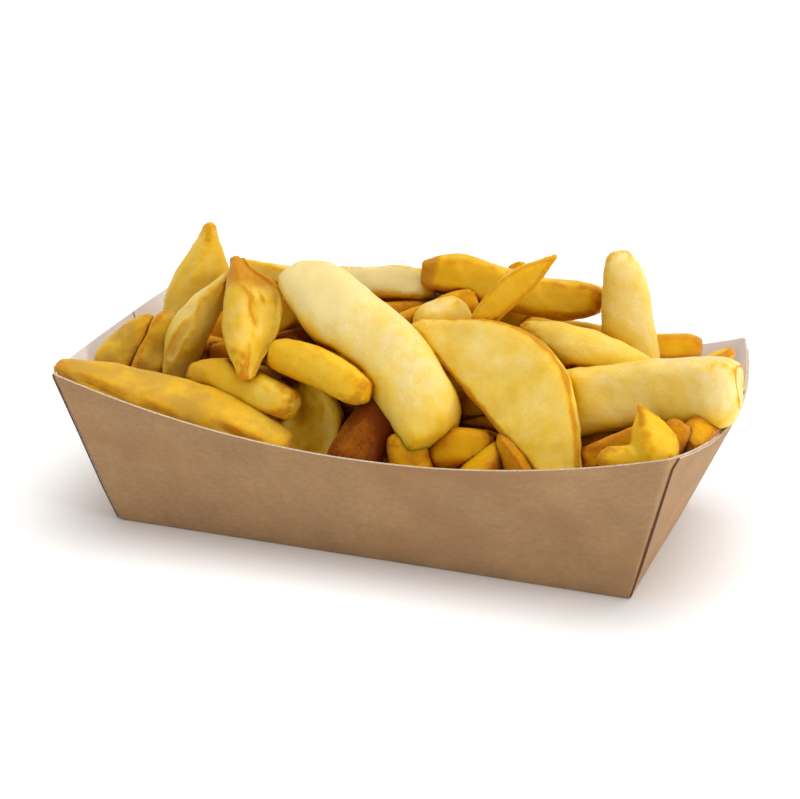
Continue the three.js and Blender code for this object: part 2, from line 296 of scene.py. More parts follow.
# A tab runs round the corner from the wall's end column and lies inside the end panel.
def foldTab(tray, side, end, column):
    wallShare = 1 - carton["cornerFold"] / carton["rimHalfLength"]
    tabShare = 1 - carton["cornerFold"] / carton["rimHalfWidth"]
    tabEnd = 1 - carton["tabLength"] / carton["rimHalfWidth"]
    levels = carton["levels"]
    inside = -carton["tabInside"]

    def bent(level, turn):
        wall = wallPoint(end * wallShare, side, level)
        corner = wallPoint(end, side, level)
        tab = endPoint(side * tabShare, side * tabShare, end, level, lift=inside)
        return wall * (1 - turn) ** 2 + corner * 2 * turn * (1 - turn) + tab * turn**2

    for turn in carton["cornerTurns"]:
        column = pullRow(tray, column, [bent(level, turn) for level in levels])
    steps = carton["endColumns"] // 2
    for step in range(1, steps + 1):
        along = side * (tabShare + (tabEnd - tabShare) * step / steps)
        rise = carton["tabRise"] / carton["height"] * step / steps
        places = [endPoint(along, along, end, max(level, rise), lift=inside) for level in levels]
        column = pullRow(tray, column, places)


def raiseEndPanel(tray, end, baseRow, baseEdge):
    halfRim = carton["rimHalfWidth"]
    frontInset, backInset = carton["panelInsets"][end]
    frontCorner, backCorner = carton["panelCorners"][end]
    footAlongs = [edge.y / baseEdge[-1].y for edge in baseEdge]
    front = -1 + (frontInset + frontCorner / 2) / halfRim
    back = 1 - (backInset + backCorner / 2) / halfRim
    inner = len(footAlongs) - 3
    rimAlongs = [front + (back - front) * step / inner for step in range(inner + 1)]
    rimAlongs = [-1 + frontInset / halfRim, *rimAlongs, 1 - backInset / halfRim]
    drops = [frontCorner, *[carton["panelDrop"]] * (inner + 1), backCorner]

    def places(level):
        lift = carton["panelLift"] * min(1, level / carton["liftLevel"])
        columns = zip(footAlongs, rimAlongs, drops)
        return [endPoint(foot, rim, end, level, drop, lift) for foot, rim, drop in columns]

    feet = places(carton["levels"][0])
    row = pullRow(tray, baseRow, [footFoldPlace(*pair) for pair in zip(baseEdge, feet)])
    for level in carton["levels"]:
        row = pullRow(tray, row, places(level))


def drawCarton():
    bpy.ops.mesh.primitive_grid_add(
        x_subdivisions=carton["wallColumns"], y_subdivisions=carton["endColumns"], size=2
    )
    tray = bpy.context.object
    tray.name = "foldedTray"
    edit(tray)
    halfLength = (carton["baseHalfLength"] - carton["footFold"]) * mm
    halfWidth = (carton["baseHalfWidth"] - carton["footFold"]) * mm
    bpy.ops.mesh.select_all(action="SELECT")
    bpy.ops.transform.resize(value=(halfLength, halfWidth, 1))
    walls = [(side, *rowAlong(tray, 1, side * halfWidth, 0)) for side in (-1, 1)]
    panels = [(end, *rowAlong(tray, 0, end * halfLength, 1)) for end in (-1, 1)]
    for side, row, edge in walls:
        rows = raiseLongWall(tray, side, row, edge)
        foldTab(tray, side, -1, [level[0] for level in rows])
        foldTab(tray, side, 1, [level[-1] for level in rows])
    for end, row, edge in panels:
        raiseEndPanel(tray, end, row, edge)
    bpy.ops.mesh.select_all(action="SELECT")
    bpy.ops.mesh.flip_normals()  # the blank was drawn face up, and its outside is its underside
    bpy.ops.mesh.subdivide(number_cuts=1)
    bpy.ops.object.mode_set(mode="OBJECT")

    papers = dict(coatedInside=lining, cutEdge=cutEdge, panelEdgeShade=panelEdgeShade)
    tray.data.materials.append(kraftMaterial())
    for name, look in papers.items():
        tray.data.materials.append(paperMaterial(name, look))
    slots = tray.data.materials.keys()
    displace(tray, "waves", carton["waveDepth"])
    addModifier(
        tray, "board", "SOLIDIFY", thickness=carton["board"] * mm, offset=-1, use_even_offset=True,
        material_offset=slots.index("coatedInside"), material_offset_rim=slots.index("cutEdge"),
    )
    applyModifiers(tray)
    paintPanelEdgeShade(tray, slots)
    activate(tray)
    bpy.ops.object.shade_smooth_by_angle(angle=math.radians(carton["sharpAngle"]))
    return tray


# Painted shade: the end panels' upright cut edges are painted dark brown, for the shadowed gap between
# panel and tab.
def paintPanelEdgeShade(tray, slots):
    endStart = carton["baseHalfLength"] * mm
    nearSide, sideways = 0.9, 0.7  # shares of the base's half width and of a normal
    sideStart = carton["baseHalfWidth"] * nearSide * mm
    edit(tray)
    bpy.ops.mesh.select_mode(type="FACE")
    bpy.ops.mesh.select_all(action="DESELECT")
    mesh = bmesh.from_edit_mesh(tray.data)
    for face in mesh.faces:
        center = face.calc_center_median()
        corner = abs(center.x) > endStart and abs(center.y) > sideStart
        cutFace = face.material_index == slots.index("cutEdge")
        face.select = cutFace and corner and abs(face.normal.y) > sideways
    bmesh.update_edit_mesh(tray.data)
    tray.active_material_index = slots.index("panelEdgeShade")
    bpy.ops.object.material_slot_assign()
    bpy.ops.object.mode_set(mode="OBJECT")


# A noise has its scale, detail and roughness, and a bump its strength and its height in metres.
kraft = dict(
    stretch=(0.6, 1, 1),
    clouds=(55, 4, 0.6),
    flecks=(900, 3, 0.65),
    blotches=(24, 3, 0.7),
    shades=[(0.33, (0.28, 0.159, 0.07)), (0.5, (0.357, 0.206, 0.091)), (0.67, (0.43, 0.252, 0.114))],
    cloudShare=0.6,
    warm=(0.5, 0.68, 0, 0.5),  # from where to where in the blotches, and how strong
    warmColor=(0.3, 0.145, 0.058),
    bump=(0.25, 0.00012),
    roughness=(0.72, 0.88),
)
lining = dict(
    clouds=(70, 3, 0.5),
    grain=(500, 2),
    shades=[(0.3, (0.83, 0.79, 0.795)), (0.7, (0.9, 0.865, 0.865))],
    bump=(0.15, 0.0001),
    roughness=(0.4, 0.52),
)
cutEdge = dict(
    clouds=(1400, 2),
    grain=(1400, 2),
    shades=[(0.3, (0.44, 0.32, 0.21)), (0.7, (0.64, 0.52, 0.39))],
    bump=(0.4, 0.0001),
    roughness=(0.8, 0.95),
)
# Dark brown shades: painted shade on the panels' upright cut edges.
panelEdgeShade = {**cutEdge, "shades": [(0.3, (0.1, 0.045, 0.022)), (0.7, (0.17, 0.085, 0.045))]}


def kraftMaterial():
    material, tree, place = newMaterial("kraftOutside")
    stretched = addNode(tree, "Mapping", {"Vector": place, "Scale": kraft["stretch"]}).outputs[0]
    clouds = addNoise(tree, place, *kraft["clouds"])
    flecks = addNoise(tree, stretched, *kraft["flecks"])
    blotches = addNoise(tree, stretched, *kraft["blotches"])
    share = kraft["cloudShare"]
    shade = addSum(tree, (clouds, share), (flecks, 1 - share))
    warm = addRange(tree, blotches, *kraft["warm"], smooth=True)
    color = addMix(tree, warm, addRamp(tree, shade, kraft["shades"]), kraft["warmColor"])
    roughness = addRange(tree, clouds, *noiseMiddle, *kraft["roughness"])
    finishMaterial(tree, color, roughness, addBump(tree, flecks, *kraft["bump"]))
    return material


def paperMaterial(name, look):
    material, tree, place = newMaterial(name)
    clouds = addNoise(tree, place, *look["clouds"])
    color = addRamp(tree, clouds, look["shades"])
    roughness = addRange(tree, clouds, *noiseMiddle, *look["roughness"])
    bump = addBump(tree, addNoise(tree, place, *look["grain"]), *look["bump"])
    finishMaterial(tree, color, roughness, bump)
    return material


# The other half of a section that looks the same upside down.
def bothHalves(half):
    return half + [(-across, -up) for across, up in half]


# Each fry's cut is a section drawn once and pulled out ring by ring.
# A section goes round the fry in halves of its width and thickness.
sections = dict(
    soft=bothHalves([(1, 0.38), (0.8, 0.79), (0.38, 1), (-0.38, 1), (-0.8, 0.79), (-1, 0.38)]),
    square=bothHalves([(1, 0.6), (0.72, 1), (0, 0.97), (-0.72, 1), (-1, 0.6), (-0.96, 0)]),
    ridge=[
        (1, -0.5), (0.86, 0.05), (0.5, 0.62), (0.08, 1), (-0.35, 0.95),
        (-0.75, 0.35), (-1, -0.2), (-0.98, -0.75), (-0.5, -1), (0.1, -0.93), (0.72, -1),
    ],
    ledge=[
        (1, -0.5), (0.93, 0.15), (0.6, 0.68), (0.08, 0.92), (-0.5, 1),
        (-0.85, 0.62), (-1, 0), (-0.97, -0.7), (-0.5, -1), (0.1, -0.95), (0.72, -1),
    ],
    leaf=[
        (1, 0.45), (0.72, -0.1), (0.4, 0.3), (0.16, 1), (-0.5, 1.05), (-0.9, 0.5),
        (-1, -0.1), (-0.92, -0.7), (-0.4, -1), (0.2, -0.95), (0.78, -0.7),
    ],
    trough=[
        (1, 0.3), (0.92, 0.9), (0.62, 1), (0.36, 0.3), (-0.1, -0.2), (-0.5, -0.05), (-0.85, 0.7),
        (-1, 0.4), (-1, -0.3), (-0.92, -0.85), (-0.45, -1), (0, -1), (0.45, -1), (0.92, -0.85), (1, -0.3),
    ],
    flat=bothHalves([
        (1, 0.3), (0.94, 0.82), (0.55, 0.96), (0, 1), (-0.55, 0.96), (-0.94, 0.82), (-1, 0.3),
    ]),
)

# The place along a fry, the shares of its width and thickness there, and how far the section
# is off its middle line, in widths: all in hundredths.
cuts = dict(
    baton=("square", [
        (0, 60, 56), (4.5, 88, 86), (20, 100, 98), (36, 97, 100), (52, 96, 100), (68, 99, 97),
        (82, 100, 95), (95.5, 88, 86), (100, 60, 56),
    ]),
    thumb=("soft", [
        (0, 42, 42), (6, 78, 76), (18, 98, 96), (36, 100, 100), (54, 97, 100), (72, 100, 97),
        (86, 96, 94), (95, 76, 74), (100, 40, 40),
    ]),
    rod=("square", [(0, 50, 50), (8, 88, 88), (50, 100, 100), (92, 88, 88), (100, 50, 50)]),
    tail=("ridge", [
        (0, 50, 46), (5, 80, 78), (20, 100, 95), (36, 100, 100), (52, 98, 99), (70, 90, 84),
        (85, 72, 66), (95, 50, 44), (100, 24, 26),
    ]),
    wedge=("ridge", [
        (0, 22, 22), (6, 48, 48), (20, 82, 80), (36, 97, 95), (52, 100, 100), (70, 92, 93),
        (85, 72, 76), (95, 46, 48), (100, 20, 22),
    ]),
    longWedge=("ridge", [
        (0, 28, 34, 3), (5, 43, 49, 1), (12, 63, 67, -1), (24, 84, 86, -2), (38, 94, 95),
        (52, 99, 99, 1), (66, 100, 100, 2), (79, 93, 94, -2), (89, 78, 81, -5), (96, 57, 62, -6),
        (100, 50, 54, -8),
    ]),
    blunt=("soft", [
        (0, 34, 38, -5), (6, 54, 59, -7), (16, 76, 79, -1), (32, 100, 100, 4), (50, 95, 96, 2),
        (68, 89, 90, -1), (84, 76, 80, -4), (94, 68, 71, -5), (100, 40, 44, -1),
    ]),
    leaf=("leaf", [
        (0, 26, 34, -15), (5, 26, 42, -13), (12, 39, 50, -11), (24, 83, 66, 5), (38, 97, 98, 5),
        (52, 100, 100, 1), (66, 87, 92, -3), (79, 62, 74, -9), (89, 40, 54, -13), (96, 30, 36, -15),
        (100, 18, 24, -15),
    ]),
    club=("soft", [
        (0, 44, 48, -26), (5, 64, 69, -23), (12, 83, 86, -16), (24, 97, 97, -12),
        (38, 100, 100, -4), (52, 98, 98, 5), (66, 97, 97, 6), (79, 96, 96, 5), (89, 97, 97, 2),
        (96, 86, 87, -9), (100, 58, 61, -19),
    ]),
    bent=("soft", [
        (0, 42, 46, -9), (6, 74, 76, -5), (16, 95, 95, -5), (32, 95, 95, 2), (50, 98, 98, 6),
        (68, 100, 100, 1), (84, 98, 99, -5), (94, 72, 75, -8), (100, 52, 56, -6),
    ]),
    slab=("trough", [
        (0, 50, 55, -21), (6, 50, 90, -17), (20, 81, 96, -4), (40, 100, 100, 2), (60, 98, 100, 1),
        (80, 93, 99), (94, 71, 94, 2), (100, 60, 55, 6),
    ]),
    halfDisc=("flat", [
        (0, 26, 55, -35), (5, 36, 87, -30), (12, 45, 89, -17), (20, 67, 93, -6), (30, 86, 97, 3),
        (41, 97, 99, 8), (52, 100, 100, 8), (63, 96, 99, 4), (74, 79, 96, -4), (84, 61, 92, -14),
        (93, 44, 89, -25), (100, 27, 55, -31),
    ]),
    amber=("square", [
        (0, 50, 54, 2), (5, 74, 76, 1), (12, 84, 86, 5), (24, 100, 100, 8), (38, 91, 92),
        (52, 90, 91, -3), (66, 88, 90, -4), (79, 93, 94, -1), (89, 84, 86, 4), (96, 72, 74, 8),
        (100, 50, 54, 9),
    ]),
    blade=("flat", [
        (0, 10, 55, 12), (6, 26, 85, 10), (16, 54, 91, 6), (30, 86, 97, -1), (45, 100, 100, -4),
        (60, 95, 99, -3), (75, 88, 98, 2), (90, 77, 95, 7), (100, 41, 55, 8),
    ]),
    ridged=("ledge", [
        (0, 10, 13, 8), (5, 30, 34, 11), (12, 49, 54, 9), (24, 80, 83, 5), (38, 100, 100, -1),
        (52, 94, 95, -2), (66, 81, 84), (79, 65, 69, -2), (89, 40, 46, 1), (96, 17, 22, 7),
        (100, 12, 15, 10),
    ]),
    post=("soft", [
        (0, 28, 32, -5), (5, 50, 54, -4), (12, 69, 73, -1), (24, 78, 81), (38, 86, 88),
        (52, 93, 94), (66, 100, 100), (79, 100, 100, -1), (89, 95, 96, -2), (96, 82, 85),
        (100, 60, 63, -3),
    ]),
    block=("square", [
        (0, 70, 73, -5), (5, 94, 95, -5), (12, 97, 97, -5), (24, 94, 95, -3), (38, 92, 93),
        (52, 92, 93, 2), (66, 96, 96, 1), (79, 100, 100, -1), (89, 99, 99, -3), (96, 84, 85),
        (100, 56, 59, 4),
    ]),
    facet=("ledge", [
        (0, 66, 69, 14), (8, 76, 79, 8), (22, 100, 100, 9), (40, 97, 98, 3), (58, 87, 89, -5),
        (75, 72, 75, -8), (90, 44, 50, -13), (100, 16, 19, -20),
    ]),
    hollow=("square", [
        (0, 68, 71, 11), (8, 76, 79, 11), (22, 100, 100, 3), (40, 97, 98, 2), (58, 84, 86, -3),
        (75, 79, 82, -2), (90, 68, 72, -1), (100, 42, 46, -8),
    ]),
    leaning=("ledge", [
        (0, 10, 13, 16), (5, 24, 28, 16), (12, 46, 51, 16), (24, 71, 74, 8), (38, 89, 90),
        (52, 100, 100, -5), (66, 96, 97, -5), (79, 85, 87, 1), (89, 76, 79, 8), (96, 69, 73, 14),
        (100, 50, 54, 15),
    ]),
    drop=("ridge", [
        (0, 10, 13, 1), (4, 17, 20), (10, 24, 28, 1), (18, 39, 45, 2), (28, 61, 65, 2),
        (40, 83, 85, 2), (54, 95, 96, 1), (68, 100, 100, -1), (82, 91, 92, -6), (93, 73, 77, -8),
        (100, 40, 44, -11),
    ]),
    topPale=("square", [
        (0, 60, 63, 7), (6, 64, 68, 5), (20, 72, 76, 4), (40, 82, 85, 2), (60, 94, 95, -3),
        (80, 100, 100, -2), (94, 84, 85, -6), (100, 50, 54, -11),
    ]),
)


def drawCage(name):
    sectionName, stations = cuts[name]
    section = sections[sectionName]
    stations = [[value / 100 for value in (*station, 0)[:4]] for station in stations]
    bpy.ops.mesh.primitive_circle_add(vertices=len(section), radius=0.5, fill_type="NGON")
    cage = bpy.context.object
    cage.name = "cage" + name.capitalize()
    edit(cage)
    for index, (across, up) in enumerate(section):
        moveVertex(cage, index, (-0.5, across / 2, up / 2))
    bpy.ops.mesh.select_all(action="SELECT")
    place, wide, thick, aside = stations[0]
    bpy.ops.transform.resize(value=(1, wide, thick), center_override=(place - 0.5, 0, 0))
    bpy.ops.transform.translate(value=(0, aside, 0))
    for before, after in zip(stations, stations[1:]):
        step = (after[0] - before[0], after[3] - before[3], 0)
        bpy.ops.mesh.extrude_region_move(TRANSFORM_OT_translate={"value": step})
        growth = (1, after[1] / before[1], after[2] / before[2])
        bpy.ops.transform.resize(value=growth, center_override=(after[0] - 0.5, after[3], 0))
    bpy.ops.mesh.select_all(action="SELECT")
    bpy.ops.mesh.normals_make_consistent(inside=False)
    if sectionName == "square":
        insetEnds(cage)
    bpy.ops.object.mode_set(mode="OBJECT")
    return cage


# The cut ends stay flat where their faces are drawn in a little.
def insetEnds(cage):
    mostSides = 4  # of the faces along the fry
    share = 0.06
    bpy.ops.mesh.select_mode(type="FACE")
    bpy.ops.mesh.select_all(action="DESELECT")
    mesh = bmesh.from_edit_mesh(cage.data)
    for face in mesh.faces:
        face.select = len(face.verts) > mostSides
    bmesh.update_edit_mesh(cage.data)
    bpy.ops.mesh.inset(thickness=share, use_even_offset=False, use_relative_offset=True)
    bpy.ops.mesh.select_mode(type="VERT")


# A fry is a copy of its cut's cage, curved, rounded, turned and made uneven.
unevenness = dict(
    lumpSize=13, lumpShare=0.1, lumpMost=1.5,  # broad swellings, as a share of the thickness
    dentSize=5, dentDepth=0.55,
    crumbSize=1.3, crumbDepth=0.65,  # only along the edges
    # rounding draws a section in, and this makes up for it
    fullness=dict(soft=1.04, square=1.05, ridge=1.08, ledge=1.06, leaf=1.08, trough=1.02, flat=1.02),
    edgeSoft=80, edgeSharp=270,  # curvatures per metre, between a face and an edge
    edgeBlur=2,
    faintEdge=0.02,  # no crumbs where the edge is softer than this
    undersideShade=0.14,  # painted shade: the lower sides are a deeper gold
    undersideShadeFrom=0.6,  # they are those that look up less than this
    hollowBend=200,  # a hollow as sharp as this has its full painted shade
    creaseBend=90,  # hollows sharper than this are creases, painted browner as painted shade, more so where the fry is tan
    creaseShadeDepth=2,
)


# What a fry has where its own line says nothing else.
plainFry = dict(
    rise=0, aside=0,  # how far it curves over its length
    tone=0.4,  # from cream to deep amber
    fade=0,  # how much the tone deepens from one end to the other
    brown=0.6,  # its edges
    tips=(0.3, 0.3), tipReach=0.2,  # how brown its two ends are, and how far in
    tan=0.1,  # its stains
    hollow=0.08,  # how much deeper the tone is in hollows, as painted shade
    levels=2,  # of rounding
    presses=(),  # dents, each with its place, depth and reach
    grooves=(),  # each with its two ends, depth and reach
)


def fry(cut, at, size, turn, **own):
    return {**plainFry, "cut": cut, "at": at, "size": size, "turn": turn, **own}


# Curves the fry in its own plane of length and width, by this many degrees over its length.
def curveFlat(thing, degrees):
    angle = math.radians(degrees)
    addModifier(thing, "curve", "SIMPLE_DEFORM", deform_method="BEND", deform_axis="Z", angle=angle)
    applyModifiers(thing)


def rollBy(thing, degrees):
    thing.rotation_euler = (math.radians(degrees), 0, 0)
    applyPlace(thing)


# Presses the surface in at a place, given in halves of the length, width and thickness.
def pressIn(thing, size, place, depth, reach):
    x, y, z = place
    spot = Vector((x * size[0], y * size[1], z * size[2])) * mm / 2
    edit(thing)
    mesh = bmesh.from_edit_mesh(thing.data)
    mesh.verts.index_update()
    nearest = min(mesh.verts, key=lambda vertex: (vertex.co - spot).length)
    inward = -nearest.normal * depth * mm
    pickVertices(thing, [nearest.index])
    bpy.ops.transform.translate(
        value=inward,
        use_proportional_edit=True,
        use_proportional_connected=True,
        proportional_edit_falloff="SMOOTH",
        proportional_size=reach * mm,
    )
    bpy.ops.object.mode_set(mode="OBJECT")


def meshArrays(thing):
    mesh = thing.data
    points = np.empty(len(mesh.vertices) * 3)
    mesh.vertices.foreach_get("co", points)
    normals = np.empty(len(mesh.vertices) * 3)
    mesh.vertex_normals.foreach_get("vector", normals)
    pairs = np.empty(len(mesh.edges) * 2, dtype=np.int64)
    mesh.edges.foreach_get("vertices", pairs)
    return points.reshape(-1, 3), normals.reshape(-1, 3), pairs.reshape(-1, 2)


# The mean at each vertex of a value of its edges, given from their first and second ends.
def edgeMean(pairs, count, fromFirst, fromSecond):
    total = np.bincount(pairs[:, 0], fromFirst, count) + np.bincount(pairs[:, 1], fromSecond, count)
    return total / np.bincount(pairs.ravel(), minlength=count).clip(1)


def blurred(values, pairs, times):
    for _ in range(times):
        around = edgeMean(pairs, len(values), values[pairs[:, 1]], values[pairs[:, 0]])
        values = (values + around) / 2
    return values


# How the surface bends round each vertex: above 0 outwards, below 0 inwards, 1 per metre.
def surfaceBend(thing):
    points, normals, pairs = meshArrays(thing)
    shortest = 1e-12  # the square of a length that is as good as none
    step = points[pairs[:, 1]] - points[pairs[:, 0]]
    swing = normals[pairs[:, 1]] - normals[pairs[:, 0]]
    bend = (swing * step).sum(1) / np.maximum((step**2).sum(1), shortest)
    return blurred(edgeMean(pairs, len(points), bend, bend), pairs, unevenness["edgeBlur"])


# From 0 on a face to 1 on a sharp edge.
def edgeSharpness(curvature):
    soft, sharp = unevenness["edgeSoft"], unevenness["edgeSharp"]
    return np.clip((curvature - soft) / (sharp - soft), 0, 1)


# The attribute holds crust and painted shade: red is the edges, green the tone with painted shade on the
# lower sides, in hollows and where fries crowd, blue the two ends and the painted crease shade, and alpha
# the stains.
def paintCrustAndShade(thing, *channels):
    layer = thing.data.color_attributes.new("crustAndShade", "FLOAT_COLOR", "POINT")
    values = np.ones((len(thing.data.vertices), len(channels)))
    for number, channel in enumerate(channels):
        values[:, number] = channel
    layer.data.foreach_set("color", values.ravel())


def shapeFry(spec):
    activate(cages[spec["cut"]])
    bpy.ops.object.duplicate()
    thing = bpy.context.object
    length, width, thickness = spec["size"]
    full = unevenness["fullness"][cuts[spec["cut"]][0]]
    thing.scale = (length * mm, width * full * mm, thickness * full * mm)
    applyPlace(thing)
    if spec["rise"]:
        rollBy(thing, -90)
        curveFlat(thing, spec["rise"])
        rollBy(thing, 90)
    if spec["aside"]:
        curveFlat(thing, spec["aside"])
    addModifier(thing, "rounding", "SUBSURF", levels=spec["levels"])
    applyModifiers(thing)
    for place, depth, reach in spec["presses"]:
        pressIn(thing, spec["size"], place, depth, reach)
    for start, end, depth, reach in spec["grooves"]:
        start, end = Vector(start), Vector(end)
        steps = math.ceil(abs(end.x - start.x) * spec["size"][0] / reach)
        for step in range(steps + 1):
            pressIn(thing, spec["size"], start.lerp(end, step / steps), depth, reach)
    return thing


def layFry(thing, spec):
    heading, slope, roll = (math.radians(angle) for angle in spec["turn"])
    thing.rotation_euler = Euler((roll, -slope, heading), "XYZ")
    thing.location = Vector(spec["at"]) * mm
    applyPlace(thing)


def roughenFry(thing, spec, along):
    lumps = min(spec["size"][2] * unevenness["lumpShare"], unevenness["lumpMost"])
    displace(thing, "lumps", lumps)
    displace(thing, "dents", unevenness["dentDepth"])
    applyModifiers(thing)
    curvature = surfaceBend(thing)
    edges = edgeSharpness(curvature)
    group = thing.vertex_groups.new(name="edges")
    for index, weight in enumerate(edges):
        if weight > unevenness["faintEdge"]:
            group.add([index], float(weight), "REPLACE")
    displace(thing, "crumbs", unevenness["crumbDepth"], "edges")
    applyModifiers(thing)
    thing.vertex_groups.clear()
    normals = meshArrays(thing)[1]
    tonesAndShade = spec["tone"] + spec["fade"] * along / 2
    # Painted shade: the tone is deeper on the lower sides and in hollows.
    tonesAndShade += unevenness["undersideShade"] * np.clip(unevenness["undersideShadeFrom"] - normals[:, 2], 0, None)
    tonesAndShade += spec["hollow"] * np.clip(-curvature / unevenness["hollowBend"], 0, 1)
    reach = spec["tipReach"]
    endsAndCreaseShade = np.clip((np.abs(along) - 1 + reach) / reach, 0, 1) * np.where(along < 0, *spec["tips"])
    # Painted shade: creases are painted browner, along with the ends' browning.
    creaseShading = np.clip((-curvature - unevenness["creaseBend"]) / unevenness["hollowBend"], 0, 1)
    endsAndCreaseShade = np.maximum(endsAndCreaseShade, creaseShading * unevenness["creaseShadeDepth"] * spec["tan"])
    paintCrustAndShade(thing, edges * spec["brown"], tonesAndShade, endsAndCreaseShade, spec["tan"])


def makeFry(spec):
    thing = shapeFry(spec)
    along = meshArrays(thing)[0][:, 0] / (spec["size"][0] * mm / 2)
    layFry(thing, spec)
    roughenFry(thing, spec, along)
    return thing


# The fries on top: the middle, the length, width and thickness, and the heading, slope and roll.
# Each name says where the fry lies or what it looks like. First the thick ones.
thickFries = dict(
    besideLongWedge=fry(
        "blunt", (-40.4, -29.3, 44.8), (36.9, 12.9, 13), (-11, -6, 63),
        tone=0.25, fade=-0.2, tan=0.2, brown=1, tips=(0.2, 0), levels=3,
    ),
    slanting=fry(
        "club", (-4.2, -18.2, 58.1), (69.4, 21.5, 20), (-27, -35, 44),
        tone=0.06, fade=0.18, brown=0.5, tips=(0, 0), levels=3,
        presses=[((0.1, -1, 0.3), 1.2, 6)],
    ),
    bentOne=fry(
        "bent", (-17.5, -28.9, 53.1), (36.8, 10.8, 12), (-18, -7, 61),
        tone=0.29, brown=0.8, tips=(0.1, 0.4), levels=3,
    ),
    # Its deep red-brown tone is painted shade.
    shaded=fry("thumb", (-1, -27, 38), (39, 15, 16), (64, 42, 42), tone=0.97),
    frontEnd=fry("thumb", (12.6, -35, 31.2), (19, 12, 11), (142, 67, -32), tone=0.58, levels=3),
    behindHalfDisc=fry(
        "thumb", (13.8, -2, 52.4), (34, 18, 13), (148, 64, -39),
        tone=0.1, tips=(0, 0), levels=3,
    ),
    amberTop=fry(
        "amber", (24.4, 22.7, 66.3), (54.7, 13.2, 16), (11, -8, 71),
        tone=0.36, brown=1, tips=(1.9, 0.3), tipReach=0.25, levels=3,
    ),
    standing=fry(
        "post", (61.8, 17.3, 58), (51.8, 17.1, 14), (-43, -77, 33),
        tone=0.06, fade=0.12, tips=(0.2, 0), levels=3,
    ),
    thickest=fry(
        "block", (73.5, -9.9, 50.9), (53.9, 20.3, 20), (4, 10, 70),
        tone=0.08, fade=-0.12, brown=0.8, tips=(0, 0.3), levels=3,
    ),
)


# The thinner ones.
thinFries = dict(
    behindLeaf=fry("baton", (-37, 6, 67), (36, 7, 12), (-6, -2, 69), tone=0.18),
    paleTop=fry(
        "topPale", (-19.6, 22.5, 62.2), (44.2, 11.5, 12), (-3, 6, 48),
        tone=-0.1, tips=(0, 0), levels=3,
    ),
    byHalfDisc=fry("baton", (19, -27, 33.3), (34, 11.5, 14), (0, 9, 66), tone=0.5),
    behindStanding=fry(
        "baton", (65.8, 29, 51.5), (30, 8.2, 11), (26, -3, 71),
        tone=0.5, brown=0.8, tips=(0, 1.2), tipReach=0.15,
    ),
    underThickest=fry("baton", (84, -32, 43), (20, 8, 9), (52, 50, 40), tone=0.62),
    alongPanel=fry("baton", (91, -17, 46), (28, 9, 9), (84, 2, 39), tone=0.68),
    underBoot=fry("baton", (68, -29, 40), (24, 8, 11), (20, 26, 64), tone=0.7),
    leftOfSlanting=fry("baton", (-28, -7, 52), (26, 11, 15), (29, 10, 69), tone=0.68),
    paleBit=fry("baton", (-40, 3, 56), (17, 8, 10), (39, 42, 64), tone=0.3),
    aboveHalfDisc=fry("baton", (4.7, 8, 60), (28, 9, 12), (29, 21, 68), tone=0.56),
    underPaleTop=fry("baton", (-12, 15, 55.4), (32, 10, 11), (8, 6, 73), tone=0.6),
    deepLeft=fry("baton", (-62, -2, 41), (34, 12, 13), (20, -12, 50), tone=0.55),
    backTop=fry("baton", (-22, 30, 53), (50, 13, 13), (-24, -6, 30), rise=-12, tone=0.35),
    backCrossing=fry("baton", (13, 31, 54), (34, 12, 12), (48, -4, 10), aside=10),
    backCorner=fry("baton", (67, 33, 40), (40, 14, 12), (12, -4, 55), tone=0.5),
    leftEnd=fry("baton", (-79, 16, 37), (48, 13, 12), (80, 6, 20), rise=10, tone=0.45),
    leftEndUnder=fry("baton", (-77, -20, 29), (44, 14, 13), (96, -4, 50), tone=0.55),
    rightEnd=fry("baton", (81, 14, 38), (46, 13, 12), (99, -5, 15), rise=10, tone=0.45),
    rightEndUnder=fry("baton", (79, -20, 33), (44, 14, 13), (84, 5, 60), tone=0.6),
)


